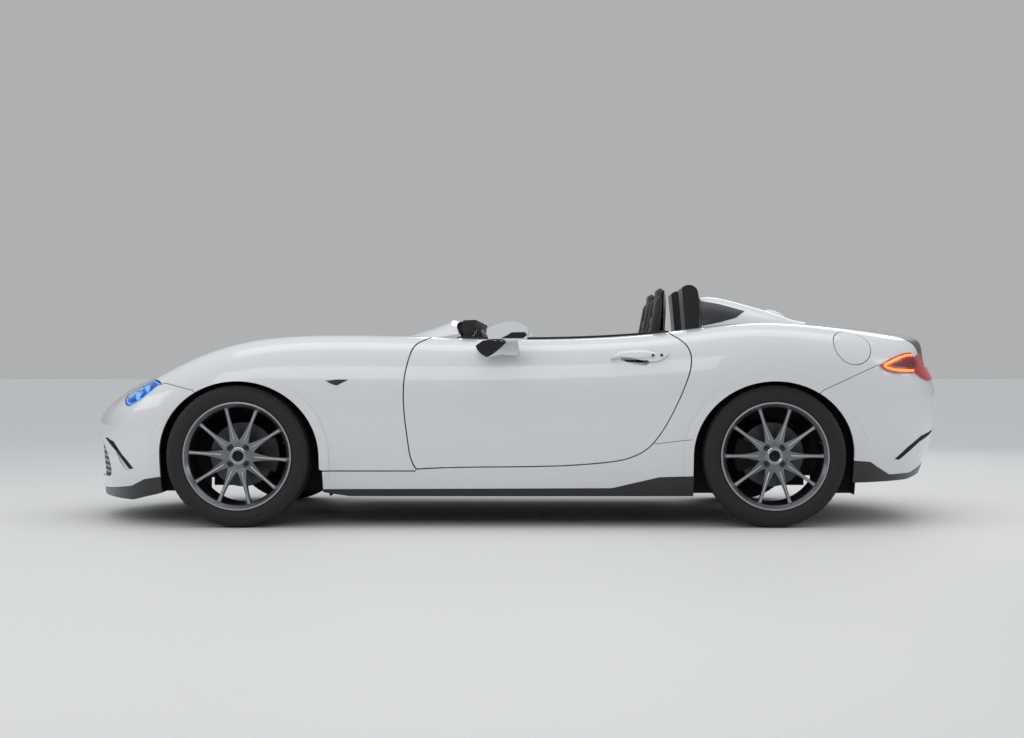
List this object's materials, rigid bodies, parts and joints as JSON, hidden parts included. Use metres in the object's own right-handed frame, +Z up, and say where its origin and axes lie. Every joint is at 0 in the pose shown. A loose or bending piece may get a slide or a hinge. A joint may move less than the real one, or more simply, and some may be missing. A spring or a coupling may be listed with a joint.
{
  "type": "roadster car",
  "caption": "Open speedster-style roadster with no roof or windscreen, a fairing behind each seat, opening doors, lids and fuel flap, steered front wheels.",
  "frame": {"origin": "on the ground under the middle of the car, midway between nose and tail", "axes": "+Z up, -X towards the nose, so -Y is the car's left-hand side"},
  "size_m": [3.9144, 2, 1.0636],
  "materials": {
    "pearl_paint": "gloss pearl white",
    "satin_black_panel": "satin black",
    "black_trim": "grained black",
    "cabin_black": "black hide",
    "lamp_lens": "clear lens with a blue tint",
    "tail_lens": "red lens",
    "chassis_metal": "matt black",
    "cast_metal": "as cast",
    "engine_metal": "cast",
    "tyre": "matt",
    "wheel_metal": "satin gunmetal",
    "disc_metal": "turned"
  },
  "bodies": {
    "chassis": {"body_side_left": "pearl_paint", "body_side_right": "pearl_paint", "dashboard": "cabin_black", "engine_block": "engine_metal", "front_bumper": "pearl_paint", "front_splitter": "black_trim", "front_suspension": "chassis_metal", "grille": "black_trim", "head_pod_left": "cabin_black", "head_pod_right": "cabin_black", "headlamp_left": "lamp_lens", "headlamp_right": "lamp_lens", "rear_bumper": "pearl_paint", "rear_deck": "pearl_paint", "rear_diffuser": "black_trim", "rear_suspension": "chassis_metal", "scuttle": "pearl_paint", "seat_left": "cabin_black", "seat_right": "cabin_black", "side_skirt_left": "black_trim", "side_skirt_right": "black_trim", "tail_lamp_left": "tail_lens", "tail_lamp_right": "tail_lens", "underbody": "chassis_metal", "wing_left": "pearl_paint", "wing_right": "pearl_paint"},
    "bonnet": {"bonnet": "pearl_paint"},
    "boot_lid": {"boot_lid": "satin_black_panel"},
    "fuel_flap": {"fuel_flap": "pearl_paint"},
    "steering_wheel": {"steering_wheel": "cabin_black"},
    "door_left": {"door_left": "pearl_paint", "mirror_left": "pearl_paint"},
    "knuckle_left": {"knuckle_left": "cast_metal"},
    "front_wheel_left": {"front_tyre_left": "tyre", "front_rim_left": "wheel_metal", "front_disc_left": "disc_metal"},
    "rear_wheel_left": {"rear_tyre_left": "tyre", "rear_rim_left": "wheel_metal", "rear_disc_left": "disc_metal"},
    "door_right": {"door_right": "pearl_paint", "mirror_right": "pearl_paint"},
    "knuckle_right": {"knuckle_right": "cast_metal"},
    "front_wheel_right": {"front_tyre_right": "tyre", "front_rim_right": "wheel_metal", "front_disc_right": "disc_metal"},
    "rear_wheel_right": {"rear_tyre_right": "tyre", "rear_rim_right": "wheel_metal", "rear_disc_right": "disc_metal"}
  },
  "joints": [
    {"name": "steer_left", "type": "hinge", "parent": "chassis", "child": "knuckle_left", "pos_m": [-1.1725, -0.652, 0.308], "axis": [0, 0, 1], "range_deg": [-33, 33]},
    {"name": "steer_right", "type": "hinge", "parent": "chassis", "child": "knuckle_right", "pos_m": [-1.1725, 0.652, 0.308], "axis": [0, 0, 1], "range_deg": [-33, 33]},
    {"name": "steering_wheel_turn", "type": "hinge", "parent": "chassis", "child": "steering_wheel", "pos_m": [-0.07, -0.36, 0.682], "axis": [0.9135, 0, 0.4067], "range_deg": [-480, 480]},
    {"name": "door_left_hinge", "type": "hinge", "parent": "chassis", "child": "door_left", "pos_m": [-0.35, -0.82, 0.5], "axis": [0, 0, -1], "range_deg": [0, 60]},
    {"name": "door_right_hinge", "type": "hinge", "parent": "chassis", "child": "door_right", "pos_m": [-0.35, 0.82, 0.5], "axis": [0, 0, 1], "range_deg": [0, 60]},
    {"name": "bonnet_hinge", "type": "hinge", "parent": "chassis", "child": "bonnet", "pos_m": [-0.562, 0, 0.845], "axis": [0, 1, 0], "range_deg": [0, 50]},
    {"name": "boot_lid_hinge", "type": "hinge", "parent": "chassis", "child": "boot_lid", "pos_m": [1.34988, 0, 0.86592], "axis": [0, -1, 0], "range_deg": [0, 70]},
    {"name": "fuel_flap_hinge", "type": "hinge", "parent": "chassis", "child": "fuel_flap", "pos_m": [1.40018, -0.80253, 0.79827], "axis": [0, -0.5437, -0.8393], "range_deg": [0, 80]},
    {"name": "front_wheel_left_spin", "type": "hinge", "parent": "knuckle_left", "child": "front_wheel_left", "pos_m": [-1.1725, -0.7475, 0.308], "axis": [0, 1, 0], "continuous": true},
    {"name": "rear_wheel_left_spin", "type": "hinge", "parent": "chassis", "child": "rear_wheel_left", "pos_m": [1.1375, -0.7525, 0.308], "axis": [0, 1, 0], "continuous": true},
    {"name": "front_wheel_right_spin", "type": "hinge", "parent": "knuckle_right", "child": "front_wheel_right", "pos_m": [-1.1725, 0.7475, 0.308], "axis": [0, 1, 0], "continuous": true},
    {"name": "rear_wheel_right_spin", "type": "hinge", "parent": "chassis", "child": "rear_wheel_right", "pos_m": [1.1375, 0.7525, 0.308], "axis": [0, 1, 0], "continuous": true}
  ],
  "couplings": [
    {"joint": "steer_right", "follows": "steer_left", "ratio": 1},
    {"joint": "steering_wheel_turn", "follows": "steer_left", "ratio": 14.5}
  ]
}
